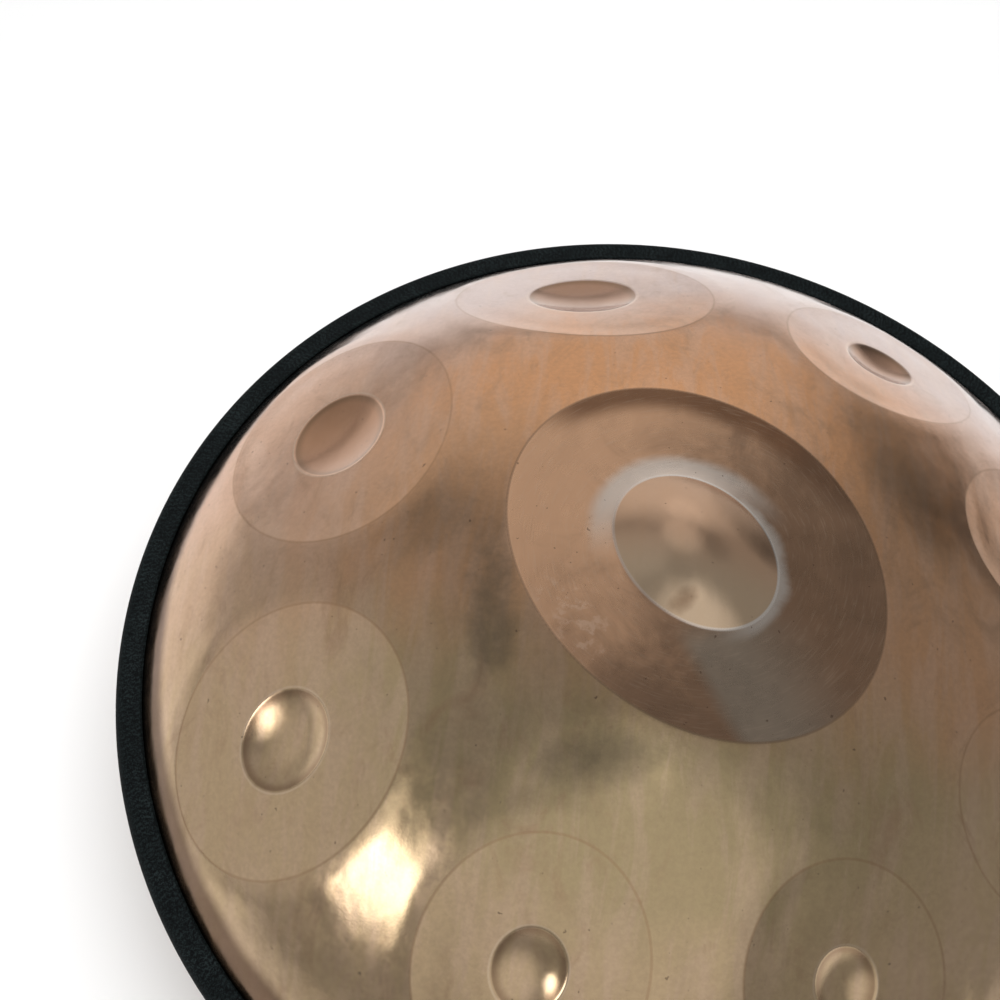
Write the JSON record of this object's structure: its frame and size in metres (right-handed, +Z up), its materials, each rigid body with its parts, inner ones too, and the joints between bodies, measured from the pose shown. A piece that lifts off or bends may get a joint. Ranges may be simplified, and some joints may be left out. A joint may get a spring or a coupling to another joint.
{
  "type": "handpan",
  "caption": "Tuned steel hand drum: two shallow domes bonded at a trimmed rim, dimpled tone fields round a raised centre note, and a sound port below.",
  "frame": {"origin": "on the axis, on the plane that the lower shell rests on", "axes": "+Z up through the centre note; +X and +Y in the resting plane, the centre note's long axis 134 degrees from +X"},
  "size_m": [0.544, 0.544, 0.2626],
  "materials": {
    "heat_coloured_steel": "satin bronze heat colour, fine brushed on the centre note",
    "heat_coloured_steel_lower": "satin bronze heat colour",
    "adhesive": "cured epoxy",
    "trim_jacket": "matt black, fine embossed weave",
    "trim_liner": "smooth soft black",
    "clip_steel": "bare spring steel"
  },
  "bodies": {
    "root": {"top_shell": "heat_coloured_steel", "bottom_shell": "heat_coloured_steel_lower", "flange_adhesive": "adhesive", "rim_trim_jacket": "trim_jacket", "rim_trim_liner": "trim_liner", "rim_trim_core": "clip_steel", "rim_trim_joint": "adhesive"}
  },
  "joints": []
}
